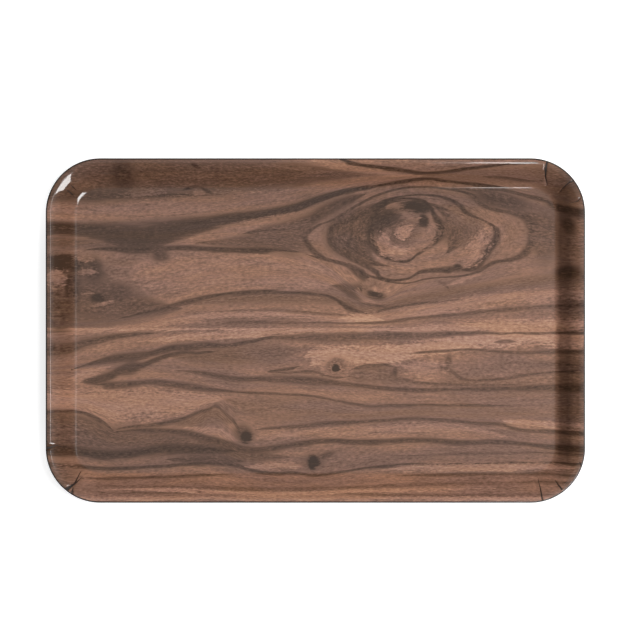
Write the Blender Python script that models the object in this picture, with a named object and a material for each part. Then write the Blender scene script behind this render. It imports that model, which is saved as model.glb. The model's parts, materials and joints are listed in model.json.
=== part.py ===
"""Wood-patterned serving tray, hot-pressed from a stack of resin-soaked sheets.

Every sheet follows the same dished form, one below the other: a flat floor, a tight cove, a steep wall
and a rim that rolls out to nearly level. Metres, +Z up, +X along the tray, with the origin in the middle
of the underside.
"""

import math

import bmesh
import bpy
from mathutils import Vector

MM = 0.001

# The tray, over its rim
LENGTH = 440 * MM
WIDTH = 281 * MM
CORNER_RADIUS = 44.5 * MM

# Cross-section of the upper face, from the floor out to the rim
RUN = 24 * MM
COVE_RADIUS = 6.5 * MM
WALL_ANGLE = math.radians(54)
ROLL_RADIUS = 14.5 * MM
BRIM = 1.4 * MM

# The sheets that are pressed together, from the upper face down, and the bond line between two of them
OVERLAY = 0.12 * MM
DECOR = 0.16 * MM
KRAFT_PLY = 0.32 * MM
KRAFT_PLIES = 5
BACKING = 0.20 * MM
BOND_LINE = 0.05 * MM

EDGE_ROUNDING = 1.2 * MM

# How finely curves are cut into flats, and the sharpest turn between two flats that still reads as one curve
CORNER_FLATS = 6
COVE_FLATS = 3
ROLL_FLATS = 4
SMOOTH_UP_TO = math.radians(35)

# Tears in the printed sheet, where it is stretched and puckered round the corners.
# Each is a list of (x, y, width) in millimetres along the tear.
CORNER_TEARS = {
    "back_left_long": [(-203.1, 114.9, 0.3), (-200.9, 113.0, 1.0), (-198.6, 111.1, 0.3)],
    "back_left_short": [(-199.7, 118.9, 0.3), (-198.8, 117.6, 0.8), (-197.9, 116.4, 0.3)],
    "back_right_long": [(189.2, 139.6, 1.2), (187.7, 131.6, 2.0), (188.0, 125.9, 1.1), (190.3, 119.6, 0.2)],
    "back_right_curved": [(210.4, 122.2, 1.0), (206.2, 120.2, 1.0), (203.0, 117.2, 0.8), (199.9, 113.5, 0.2)],
    "back_right_short": [(216.0, 107.7, 0.6), (213.2, 105.1, 0.7), (207.9, 104.4, 0.2)],
    "front_left_edge": [(-219.8, -96.4, 1.8), (-215.0, -94.9, 0.9), (-211.0, -93.8, 0.7), (-206.3, -95.6, 0.2)],
    "front_left_wedge": [(-205.2, -131.0, 4.2), (-200.4, -127.8, 2.0), (-196.4, -125.0, 1.5), (-192.9, -115.8, 0.2)],
    "front_left_fork": [(-198.6, -135.0, 1.2), (-198.4, -130.6, 1.1), (-197.5, -128.2, 0.3)],
    "front_left_branch": [(-195.6, -124.6, 1.0), (-192.1, -121.3, 0.2)],
    "front_right_long": [(185.2, -140.1, 1.3), (183.9, -131.1, 1.0), (182.8, -122.0, 0.2)],
    "front_right_wedge": [(201.1, -129.7, 1.5), (198.2, -126.3, 0.9), (195.5, -122.3, 0.2)],
    "front_right_short": [(217.6, -112.0, 1.0), (215.2, -107.4, 0.3)],
}

SHEETS = 2 + KRAFT_PLIES + 1
THICKNESS = OVERLAY + DECOR + KRAFT_PLIES * KRAFT_PLY + BACKING + (SHEETS - 1) * BOND_LINE
WALL_LENGTH = (RUN - BRIM - (COVE_RADIUS + ROLL_RADIUS) * math.sin(WALL_ANGLE)) / math.cos(WALL_ANGLE)
FLOOR_RADIUS = CORNER_RADIUS - RUN
CORNER_X = LENGTH / 2 - CORNER_RADIUS
CORNER_Y = WIDTH / 2 - CORNER_RADIUS
CUTTER_HALF_HEIGHT = 40 * MM
WELD_DISTANCE = 0.001 * MM
ROUND_PROFILE = 0.5


def clear_scene():
    for old in list(bpy.data.objects):
        bpy.data.objects.remove(old)


def new_collection(name):
    collection = bpy.data.collections.new(name)
    bpy.context.scene.collection.children.link(collection)
    return collection


def material(name, colour, roughness, coat=0.0):
    made = bpy.data.materials.new(name)
    made.use_nodes = True
    shader = made.node_tree.nodes["Principled BSDF"]
    shader.inputs["Base Color"].default_value = (*colour, 1)
    shader.inputs["Roughness"].default_value = roughness
    shader.inputs["Metallic"].default_value = 0
    shader.inputs["Coat Weight"].default_value = coat
    return made


def arc(centre, radius, first, last, flats, side):
    """Points (out, up) on an arc whose slope goes from first to last. side is 1 for a hollow, -1 for a crown."""
    slopes = [first + (last - first) * i / flats for i in range(flats + 1)]
    return [
        (centre[0] + side * radius * math.sin(slope), centre[1] - side * radius * math.cos(slope))
        for slope in slopes
    ]


def section(depth):
    """The form's cross-section at a depth under the upper face: points (out, up), from the floor to the brim."""
    cove_centre = (0, THICKNESS + COVE_RADIUS)
    roll_centre = (
        (COVE_RADIUS + ROLL_RADIUS) * math.sin(WALL_ANGLE) + WALL_LENGTH * math.cos(WALL_ANGLE),
        cove_centre[1]
        - (COVE_RADIUS + ROLL_RADIUS) * math.cos(WALL_ANGLE)
        + WALL_LENGTH * math.sin(WALL_ANGLE),
    )
    cove = arc(cove_centre, COVE_RADIUS + depth, 0, WALL_ANGLE, COVE_FLATS, 1)
    roll = arc(roll_centre, ROLL_RADIUS - depth, WALL_ANGLE, 0, ROLL_FLATS, -1)
    return cove + roll


def edge_setback(depth):
    """How far short of the outline a sheet ends, so that the trimmed edge of the stack is rounded."""
    from_middle = (depth - THICKNESS / 2) / (THICKNESS / 2)
    return EDGE_ROUNDING * (1 - math.sqrt(1 - from_middle**2))


def floor_plate(mesh):
    """The floor's flat: a rectangle with its four corners rounded."""
    bmesh.ops.create_grid(mesh, x_segments=1, y_segments=1, size=1)
    for vertex in mesh.verts:
        vertex.co.x *= CORNER_X + FLOOR_RADIUS
        vertex.co.y *= CORNER_Y + FLOOR_RADIUS
    bmesh.ops.bevel(
        mesh,
        geom=list(mesh.verts),
        offset=FLOOR_RADIUS,
        offset_type="OFFSET",
        segments=CORNER_FLATS,
        profile=ROUND_PROFILE,
        affect="VERTICES",
    )


def moved_out(point, out, up):
    """A point of the outline, carried square to it to a distance out from the floor's edge, and to a height."""
    corner = Vector((math.copysign(CORNER_X, point.x), math.copysign(CORNER_Y, point.y)))
    outward = (point.xy - corner).normalized()
    return (*(corner + outward * (FLOOR_RADIUS + out)), up)


def pressed_sheet(name, depth, thickness, finish, collection):
    """One closed sheet of the stack, its upper face at a depth under the tray's upper face."""
    top = section(depth)
    bottom = section(depth + thickness)
    end = RUN - edge_setback(depth + thickness / 2)
    stations = top[1:] + [(end, top[-1][1]), (end, bottom[-1][1])] + bottom[::-1]

    mesh = bmesh.new()
    floor_plate(mesh)
    for vertex in mesh.verts:
        vertex.co.z = top[0][1]
    loop = list(mesh.edges)
    for out, up in stations:
        grown = bmesh.ops.extrude_edge_only(mesh, edges=loop)["geom"]
        loop = [item for item in grown if isinstance(item, bmesh.types.BMEdge)]
        for vertex in (item for item in grown if isinstance(item, bmesh.types.BMVert)):
            vertex.co = moved_out(vertex.co, out, up)
    bmesh.ops.contextual_create(mesh, geom=loop)
    bmesh.ops.recalc_face_normals(mesh, faces=mesh.faces)

    data = bpy.data.meshes.new(name)
    mesh.to_mesh(data)
    mesh.free()
    data.materials.append(finish)
    data.shade_smooth()
    data.set_sharp_from_angle(angle=SMOOTH_UP_TO)
    sheet = bpy.data.objects.new(name, data)
    collection.objects.link(sheet)
    return sheet


def tear_outline(tear):
    """The two sides of a tear: its points pushed out by half its width, square to the way it runs."""
    sides = ([], [])
    for i, (x, y, width) in enumerate(tear):
        before = tear[max(i - 1, 0)]
        after = tear[min(i + 1, len(tear) - 1)]
        along = (after[0] - before[0], after[1] - before[1])
        scale = width / 2 / math.hypot(*along)
        sides[0].append((x - along[1] * scale, y + along[0] * scale))
        sides[1].append((x + along[1] * scale, y - along[0] * scale))
    return sides[0] + sides[1][::-1]


def tear_cutter(name, tear, collection):
    """An upright prism in the outline of a tear."""
    curve = bpy.data.curves.new(name, "CURVE")
    curve.dimensions = "2D"
    curve.fill_mode = "BOTH"
    curve.extrude = CUTTER_HALF_HEIGHT
    outline = tear_outline(tear)
    spline = curve.splines.new("POLY")
    spline.points.add(len(outline) - 1)
    for point, (x, y) in zip(spline.points, outline):
        point.co = (x * MM, y * MM, 0, 1)
    spline.use_cyclic_u = True
    drawn = bpy.data.objects.new(name, curve)
    collection.objects.link(drawn)

    evaluated = drawn.evaluated_get(bpy.context.evaluated_depsgraph_get())
    data = bpy.data.meshes.new_from_object(evaluated)
    mesh = bmesh.new()
    mesh.from_mesh(data)
    bmesh.ops.remove_doubles(mesh, verts=mesh.verts, dist=WELD_DISTANCE)
    bmesh.ops.recalc_face_normals(mesh, faces=mesh.faces)
    mesh.to_mesh(data)
    mesh.free()
    cutter = bpy.data.objects.new(name + "_cutter", data)
    cutter.matrix_world = drawn.matrix_world
    cutter.hide_render = True
    cutter.display_type = "WIRE"
    collection.objects.link(cutter)
    bpy.data.objects.remove(drawn)
    return cutter


def tear_open(sheet, cutters):
    for cutter in cutters:
        cut = sheet.modifiers.new(cutter.name, "BOOLEAN")
        cut.operation = "DIFFERENCE"
        cut.object = cutter


def main():
    clear_scene()
    tray = new_collection("serving_tray")
    helpers = new_collection("cutters")

    overlay = material("clear_melamine", (0.80, 0.76, 0.72), 0.12, 0.6)
    walnut = material("walnut_print", (0.20, 0.12, 0.09), 0.35, 0.5)
    kraft = material("phenolic_kraft", (0.035, 0.016, 0.010), 0.55)
    backing = material("dark_melamine", (0.030, 0.022, 0.018), 0.45)

    stack = [("clear_overlay", OVERLAY, overlay), ("walnut_decor_sheet", DECOR, walnut)]
    stack += [(f"kraft_ply_{i + 1}", KRAFT_PLY, kraft) for i in range(KRAFT_PLIES)]
    stack.append(("backing_sheet", BACKING, backing))

    depth = 0
    sheets = {}
    for name, thickness, finish in stack:
        sheets[name] = pressed_sheet(name, depth, thickness, finish, tray)
        depth += thickness + BOND_LINE

    cutters = [tear_cutter(name, tear, helpers) for name, tear in CORNER_TEARS.items()]
    tear_open(sheets["walnut_decor_sheet"], cutters)


main()
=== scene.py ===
import json
import math
import bpy
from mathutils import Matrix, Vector


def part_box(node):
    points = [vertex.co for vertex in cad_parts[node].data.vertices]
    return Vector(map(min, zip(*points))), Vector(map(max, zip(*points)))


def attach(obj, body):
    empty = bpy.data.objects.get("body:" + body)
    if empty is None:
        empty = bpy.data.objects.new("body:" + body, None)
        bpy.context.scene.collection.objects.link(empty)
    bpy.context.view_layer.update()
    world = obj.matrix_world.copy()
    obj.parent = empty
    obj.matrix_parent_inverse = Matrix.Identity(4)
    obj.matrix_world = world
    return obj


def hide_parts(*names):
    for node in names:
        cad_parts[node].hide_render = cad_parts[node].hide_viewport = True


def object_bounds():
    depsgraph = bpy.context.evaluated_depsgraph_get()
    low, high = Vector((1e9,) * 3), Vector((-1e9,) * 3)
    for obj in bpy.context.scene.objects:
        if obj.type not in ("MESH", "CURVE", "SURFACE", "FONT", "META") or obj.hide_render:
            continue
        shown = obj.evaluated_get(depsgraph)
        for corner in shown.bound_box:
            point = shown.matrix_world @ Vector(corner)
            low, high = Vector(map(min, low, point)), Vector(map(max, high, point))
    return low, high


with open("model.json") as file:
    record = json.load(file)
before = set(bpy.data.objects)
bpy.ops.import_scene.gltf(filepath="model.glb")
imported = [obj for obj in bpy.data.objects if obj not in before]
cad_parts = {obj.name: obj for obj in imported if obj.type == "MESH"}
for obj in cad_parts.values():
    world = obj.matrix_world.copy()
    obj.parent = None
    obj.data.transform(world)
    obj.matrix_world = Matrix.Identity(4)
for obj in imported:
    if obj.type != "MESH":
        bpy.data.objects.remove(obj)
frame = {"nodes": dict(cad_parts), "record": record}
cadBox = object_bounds()
print("frame loaded")

mm = 0.001

# The pressed form, as in the frame. The outline, the height and the sheets' depths come from the frame.
form = {
    "cornerRadius": 44.5 * mm,
    "run": 24 * mm,            # from the floor's edge out to the rim
    "coveRadius": 6.5 * mm,
    "wallAngle": math.radians(54),
    "rollRadius": 14.5 * mm,
    "brim": 1.4 * mm,
    "edgeRounding": 1.2 * mm,  # how far the sanded edge is drawn in at the two faces
    "floorRing": 3 * mm,       # a ring of floor beside the cove, so that its shading stays flat
    "gap": 0.01 * mm,          # left between two sheets
    "weld": 0.001 * mm,
    "smoothUpTo": math.radians(30),
    "cornerSteps": 30,
    "coveSteps": 10,
    "rollSteps": 14,
    "edgeSteps": 3,
}

trayLength = cadBox[1].x - cadBox[0].x
trayWidth = cadBox[1].y - cadBox[0].y
floorHeight = next(m["pos_m"][2] for m in frame["record"]["mounts"] if m["name"] == "serving_floor")


def linearColour(hexText):
    # sRGB hex to the linear values that a socket holds
    channels = [int(hexText[i:i + 2], 16) / 255 for i in (1, 3, 5)]
    return (*[c / 12.92 if c <= 0.04045 else ((c + 0.055) / 1.055) ** 2.4 for c in channels], 1)


def addNode(tree, kind, inputs, **settings):
    # a node with its settings; an input is a plain value or the socket that feeds it
    node = tree.nodes.new("ShaderNode" + kind)
    for name, value in settings.items():
        setattr(node, name, value)
    for place, value in inputs.items():
        if isinstance(value, bpy.types.NodeSocket):
            tree.links.new(value, node.inputs[place])
        else:
            node.inputs[place].default_value = value
    return node


def drawCurve(curve, points, handle="AUTO"):
    # puts a curve of a curve node through points that run from 0 to 1
    while len(curve.points) < len(points):
        curve.points.new(0.5, 0.5)
    for knot, place in zip(curve.points, sorted(points)):
        knot.location = place
        knot.handle_type = handle


def setStops(ramp, stops):
    while len(ramp.elements) < len(stops):
        ramp.elements.new(0.5)
    for element, (place, colour) in zip(ramp.elements, stops):
        element.position = place
        element.color = linearColour(colour)


# The sheets


def sectionRows(depth):
    # the form's section at a depth under the upper face, as (out, up) from the brim down to the floor
    sine, cosine = math.sin(form["wallAngle"]), math.cos(form["wallAngle"])
    bothRadii = form["coveRadius"] + form["rollRadius"]
    wallLength = (form["run"] - form["brim"] - bothRadii * sine) / cosine
    coveUp = floorHeight + form["coveRadius"]
    rollOut = bothRadii * sine + wallLength * cosine
    rollUp = coveUp - bothRadii * cosine + wallLength * sine
    rollRadius = form["rollRadius"] - depth
    coveRadius = form["coveRadius"] + depth
    rows = []
    for i in range(form["rollSteps"] + 1):
        slope = form["wallAngle"] * i / form["rollSteps"]
        rows.append((rollOut - rollRadius * math.sin(slope), rollUp + rollRadius * math.cos(slope)))
    for i in range(form["coveSteps"] + 1):
        slope = form["wallAngle"] * (1 - i / form["coveSteps"])
        rows.append((coveRadius * math.sin(slope), coveUp - coveRadius * math.cos(slope)))
    rows.append((-form["floorRing"], rows[-1][1]))
    return rows


def edgeRows(fromDepth, toDepth):
    # the rounded edge of the stack between two depths
    brimUp = sectionRows(0)[0][1]
    rows = []
    for i in range(form["edgeSteps"] + 1):
        depth = fromDepth + (toDepth - fromDepth) * i / form["edgeSteps"]
        fromMiddle = min(1, abs(2 * depth / floorHeight - 1))
        setback = form["edgeRounding"] * (1 - math.sqrt(1 - fromMiddle ** 2))
        rows.append((form["run"] - setback, brimUp - depth))
    return rows


def selectFaces(piece, isWanted):
    # leaves the piece in edit mode with only the wanted faces selected
    bpy.ops.object.mode_set(mode="EDIT")
    bpy.ops.mesh.select_mode(type="FACE")
    bpy.ops.mesh.select_all(action="DESELECT")
    bpy.ops.object.mode_set(mode="OBJECT")
    for face in piece.data.polygons:
        face.select = isWanted(face)
    bpy.ops.object.mode_set(mode="EDIT")


def insetAlong(rows, side):
    # carries the selected flat face inwards, row by row; side is 1 for the upper face, -1 for the lower
    for (out, up), (nextOut, nextUp) in zip(rows, rows[1:]):
        if math.dist((out, up), (nextOut, nextUp)) > form["weld"] / 10:
            bpy.ops.mesh.inset(thickness=out - nextOut, depth=side * (nextUp - up))


def pressSheet(name, upperDepth, lowerDepth):
    # one closed sheet of the stack, its faces at two depths under the tray's upper face
    widestDepth = min(max(floorHeight / 2, upperDepth), lowerDepth)
    upperRows = edgeRows(widestDepth, upperDepth) + sectionRows(upperDepth)
    lowerRows = edgeRows(widestDepth, lowerDepth) + sectionRows(lowerDepth)
    out, up = upperRows[0]
    short = form["run"] - out

    bpy.ops.object.select_all(action="DESELECT")
    bpy.ops.mesh.primitive_plane_add(size=1, location=(0, 0, up))
    piece = bpy.context.object
    piece.name = name
    bpy.ops.object.mode_set(mode="EDIT")
    bpy.ops.transform.resize(value=(trayLength - 2 * short, trayWidth - 2 * short, 1))
    bpy.ops.mesh.bevel(
        offset=form["cornerRadius"] - short, segments=form["cornerSteps"], affect="VERTICES", profile=0.5
    )
    bpy.ops.mesh.duplicate()
    bpy.ops.mesh.flip_normals()
    insetAlong(lowerRows, -1)
    selectFaces(piece, lambda face: face.normal.z > 0.5)
    insetAlong(upperRows, 1)
    bpy.ops.mesh.select_all(action="SELECT")
    bpy.ops.mesh.remove_doubles(threshold=form["weld"])
    bpy.ops.object.mode_set(mode="OBJECT")
    bpy.ops.object.transform_apply(location=True, rotation=True, scale=True)
    bpy.ops.object.shade_smooth_by_angle(angle=form["smoothUpTo"])
    return piece


# Tears in the printed sheet, which splits where it is drawn round the corners: (x, y, width) in
# millimetres along each tear
tears = {
    "backLeftLong": [(-203.1, 114.9, 0.3), (-200.9, 113.0, 1.0), (-198.6, 111.1, 0.3)],
    "backLeftShort": [(-199.7, 118.9, 0.3), (-198.8, 117.6, 0.8), (-197.9, 116.4, 0.3)],
    "backRightLong": [
        (189.2, 139.6, 1.2), (187.7, 131.6, 2.0), (188.0, 125.9, 1.1), (190.3, 119.6, 0.2),
    ],
    "backRightCurved": [
        (210.4, 122.2, 1.0), (206.2, 120.2, 1.0), (203.0, 117.2, 0.8), (199.9, 113.5, 0.2),
    ],
    "backRightShort": [(216.0, 107.7, 0.6), (213.2, 105.1, 0.7), (207.9, 104.4, 0.2)],
    "frontLeftEdge": [
        (-219.8, -96.4, 1.8), (-215.0, -94.9, 0.9), (-211.0, -93.8, 0.7), (-206.3, -95.6, 0.2),
    ],
    "frontLeftWedge": [
        (-205.2, -131.0, 4.2), (-200.4, -127.8, 2.0), (-196.4, -125.0, 1.5), (-192.9, -115.8, 0.2),
    ],
    "frontLeftFork": [(-198.6, -135.0, 1.2), (-198.4, -130.6, 1.1), (-197.5, -128.2, 0.3)],
    "frontLeftBranch": [(-195.6, -124.6, 1.0), (-192.1, -121.3, 0.2)],
    "frontRightLong": [(185.2, -140.1, 1.3), (183.9, -131.1, 1.0), (182.8, -122.0, 0.2)],
    "frontRightWedge": [(201.1, -129.7, 1.5), (198.2, -126.3, 0.9), (195.5, -122.3, 0.2)],
    "frontRightShort": [(217.6, -112.0, 1.0), (215.2, -107.4, 0.3)],
}

# How far the blades reach up and down, and how far in from the outline the long faces are parted
cutting = {"bladeHalfHeight": 30 * mm, "partedAt": (56 * mm, 49 * mm)}


def tearKnife(name, tear):
    # an upright blade in a tear's outline: a flat curve made a mesh
    sides = ([], [])
    for i, (x, y, width) in enumerate(tear):
        before, after = tear[max(i - 1, 0)], tear[min(i + 1, len(tear) - 1)]
        alongX, alongY = after[0] - before[0], after[1] - before[1]
        half = width / 2 / math.hypot(alongX, alongY)
        sides[0].append((x - alongY * half, y + alongX * half))
        sides[1].append((x + alongY * half, y - alongX * half))
    drawn = bpy.data.curves.new(name, "CURVE")
    drawn.dimensions = "2D"
    drawn.fill_mode = "BOTH"
    drawn.extrude = cutting["bladeHalfHeight"]
    line = drawn.splines.new("POLY")
    outline = sides[0] + sides[1][::-1]
    line.points.add(len(outline) - 1)
    for point, (x, y) in zip(line.points, outline):
        point.co = (x * mm, y * mm, 0, 1)
    line.use_cyclic_u = True
    knife = bpy.data.objects.new(name, drawn)
    bpy.context.collection.objects.link(knife)
    bpy.ops.object.select_all(action="DESELECT")
    knife.select_set(True)
    bpy.context.view_layer.objects.active = knife
    bpy.ops.object.convert(target="MESH")
    bpy.ops.object.mode_set(mode="EDIT")
    bpy.ops.mesh.select_all(action="SELECT")
    bpy.ops.mesh.remove_doubles(threshold=form["weld"])
    bpy.ops.mesh.normals_make_consistent(inside=False)
    bpy.ops.object.mode_set(mode="OBJECT")
    return bpy.context.object


def tearOpen(piece):
    # the long straight faces are parted beside the corners, which keeps them out of the tears
    bpy.ops.object.mode_set(mode="EDIT")
    for halfSpan, normal in ((trayLength / 2, (1, 0, 0)), (trayWidth / 2, (0, 1, 0))):
        for back in cutting["partedAt"]:
            for side in (1, -1):
                bpy.ops.mesh.select_all(action="SELECT")
                place = [side * (halfSpan - back) * axis for axis in normal]
                bpy.ops.mesh.bisect(plane_co=place, plane_no=normal)
    bpy.ops.object.mode_set(mode="OBJECT")
    for name, tear in tears.items():
        knife = tearKnife(name, tear)
        bpy.ops.object.select_all(action="DESELECT")
        piece.select_set(True)
        bpy.context.view_layer.objects.active = piece
        cut = piece.modifiers.new(name, "BOOLEAN")
        cut.operation = "DIFFERENCE"
        cut.object = knife
        bpy.ops.object.modifier_apply(modifier=name)
        bpy.data.objects.remove(knife)


lowSides = {name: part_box(name)[0].z for name in frame["nodes"]}
plyNames = sorted(name for name in lowSides if name.startswith("kraft_ply"))
depthUnder = {name: floorHeight - low for name, low in lowSides.items()}

printedFace = pressSheet("printedFace", 0, depthUnder["walnut_decor_sheet"])
tearOpen(printedFace)
kraftPlies = []
reached = depthUnder["walnut_decor_sheet"] + form["gap"]
for number, node in enumerate(plyNames, 1):
    kraftPlies.append(pressSheet(f"kraftPly{number}", reached, depthUnder[node]))
    reached = depthUnder[node] + form["gap"]
backingSheet = pressSheet("backingSheet", reached, depthUnder["backing_sheet"])
print("sheets pressed")


# The walnut print. Its places are in millimetres from the tray's middle, x to the right and y to the back.
# The field is what the strokes can reach, a little past the tray. Tones are brightness levels, 0 to 255
printField = {"left": -230, "width": 460, "front": -150, "depth": 300}
tonesOfPrint = [
    (57, "#3e2c21"), (72, "#533c30"), (87, "#664b3e"), (102, "#7a5b4c"),
    (117, "#8c6859"), (132, "#a07764"), (147, "#af8671"), (162, "#bf9981"),
]
toneRange = (40, 180)

# The run of the grain: lines that the fine grain follows, each with the height that it stands for
grainLines = {
    -145: [(-220, -145), (220, -145)],
    -112: [(-220, -109), (-175, -113), (-145, -113), (-115, -109), (-85, -110), (-50, -115), (-20, -118),
           (5, -118), (30, -114), (70, -110), (200, -110)],
    -77: [(-220, -66), (-190, -68), (-178, -73), (-160, -80), (-140, -77), (-120, -76), (-100, -72),
          (-84, -64), (-72, -72), (-62, -82), (-50, -82), (-25, -79), (5, -76), (35, -74), (95, -73),
          (150, -77), (220, -84)],
    -52: [(-220, -42), (-190, -46), (-150, -41), (-120, -43), (-80, -49), (-40, -51), (0, -54),
          (40, -61), (80, -62), (220, -60)],
    -38: [(-220, -34), (-175, -33), (-115, -33), (-90, -35), (-55, -41), (5, -43), (65, -48), (95, -50),
          (220, -48)],
    -6: [(-220, -28), (-200, -26), (-175, -22), (-145, -17), (-115, -10), (-85, -8), (-55, -5),
         (-25, -3), (5, 0), (220, 0)],
    12: [(-220, -4), (-175, 0), (-145, 4), (-115, 9), (-85, 11), (-25, 13), (35, 11), (65, 13), (95, 18),
         (125, 21), (155, 27), (185, 30), (220, 31)],
    29: [(-220, 10), (-160, 11), (-120, 19), (-100, 24), (-55, 30.5), (5, 32), (20, 29), (42, 21),
         (60, 22), (100, 27), (130, 32), (160, 37), (220, 45)],
    60: [(-220, 62), (-190, 67), (-115, 68), (-55, 68), (-25, 65), (5, 57), (30, 38), (50, 27), (75, 38),
         (108, 46), (140, 52), (160, 58), (220, 58)],
    92: [(-220, 82), (-170, 84), (-120, 86), (-80, 91), (-55, 93), (-25, 98), (5, 108), (35, 117),
         (65, 122), (95, 124), (125, 121), (155, 115), (185, 108), (220, 100)],
    112: [(-220, 105), (-120, 107), (-80, 108), (-40, 112), (0, 118), (50, 126), (80, 128), (110, 128),
          (150, 125), (190, 120), (220, 116)],
    133: [(-220, 135), (-50, 134), (0, 132), (50, 130.5), (80, 130), (110, 131), (220, 133)],
    147: [(-220, 147), (220, 147)],
}

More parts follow.
